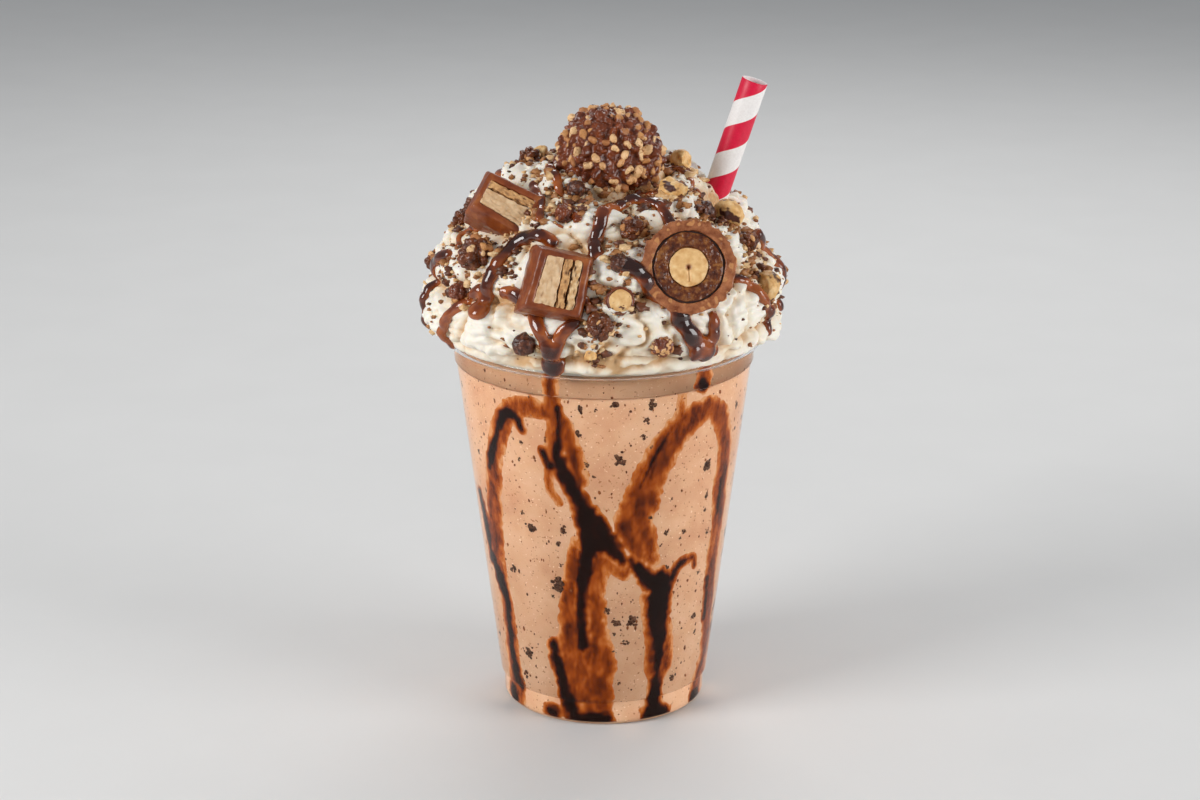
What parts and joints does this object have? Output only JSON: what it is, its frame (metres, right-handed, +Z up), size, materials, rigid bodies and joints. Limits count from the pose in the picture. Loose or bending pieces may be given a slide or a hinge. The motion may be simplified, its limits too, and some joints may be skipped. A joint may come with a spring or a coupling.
{
  "type": "chocolate milkshake in a clear cup",
  "caption": "Chocolate milkshake in a clear tapered cup, crowned with piped cream, chocolate sauce, pralines, wafer bar pieces, nuts and a striped straw.",
  "frame": {"origin": "centre of the cup's foot, on the surface that it stands on", "axes": "+Z up along the cup's axis; +X towards the side the straw leans to; -Y towards the front, where the cut pieces face"},
  "size_m": [0.111, 0.1139, 0.1957],
  "materials": {
    "clear_cup": "clear, glossy",
    "striped_paper": "matte, waxed",
    "chocolate_shake": "wet",
    "whipped_cream": "soft",
    "nut_praline": "satin, nutty",
    "praline_wafer": "matte",
    "praline_filling": "satin",
    "hazelnut": "matte",
    "milk_chocolate": "satin",
    "milk_cream": "soft",
    "wafer": "matte, porous",
    "dark_pearl": "glossy",
    "crunch": "knobbly",
    "dark_sauce": "wet, glossy",
    "crumbs": "matte"
  },
  "bodies": {
    "root": {"cup": "clear_cup", "straw": "striped_paper", "shake": "chocolate_shake", "cream": "whipped_cream", "praline": "nut_praline", "half_praline_shell": "nut_praline", "half_praline_wafer": "praline_wafer", "half_praline_filling": "praline_filling", "half_praline_nut": "hazelnut", "half_nut_coat": "milk_chocolate", "half_nut_core": "hazelnut", "wafer_bar_upper_coat": "milk_chocolate", "wafer_bar_upper_cream": "milk_cream", "wafer_bar_upper_wafer_1": "wafer", "wafer_bar_lower_coat": "milk_chocolate", "wafer_bar_lower_cream": "milk_cream", "wafer_bar_lower_wafer_1": "wafer", "wafer_bar_lower_wafer_2": "wafer", "pearl_front_left": "dark_pearl", "pearl_top": "dark_pearl", "pearl_middle": "dark_pearl", "pearl_shoulder": "dark_pearl", "pearl_back": "dark_pearl", "nut_pearl_front_right": "nut_praline", "nut_pearl_left": "nut_praline", "nut_pearl_top": "nut_praline", "nut_pearl_back": "nut_praline", "cluster_left": "crunch", "cluster_front": "crunch", "cluster_middle": "crunch", "cluster_right": "crunch", "cluster_left_edge": "crunch", "cluster_left_shoulder": "crunch", "cluster_left_top": "crunch", "cluster_back_low": "crunch", "cluster_back_right": "crunch", "cluster_back_left": "crunch", "nut_chunk_front_low": "hazelnut", "nut_chunk_left_top": "hazelnut", "nut_chunk_right": "hazelnut", "nut_chunk_right_edge": "hazelnut", "nut_chunk_right_top": "hazelnut", "nut_chunk_front_top": "hazelnut", "nut_chunk_back": "hazelnut", "nut_chunk_back_edge": "hazelnut"}
  },
  "joints": []
}
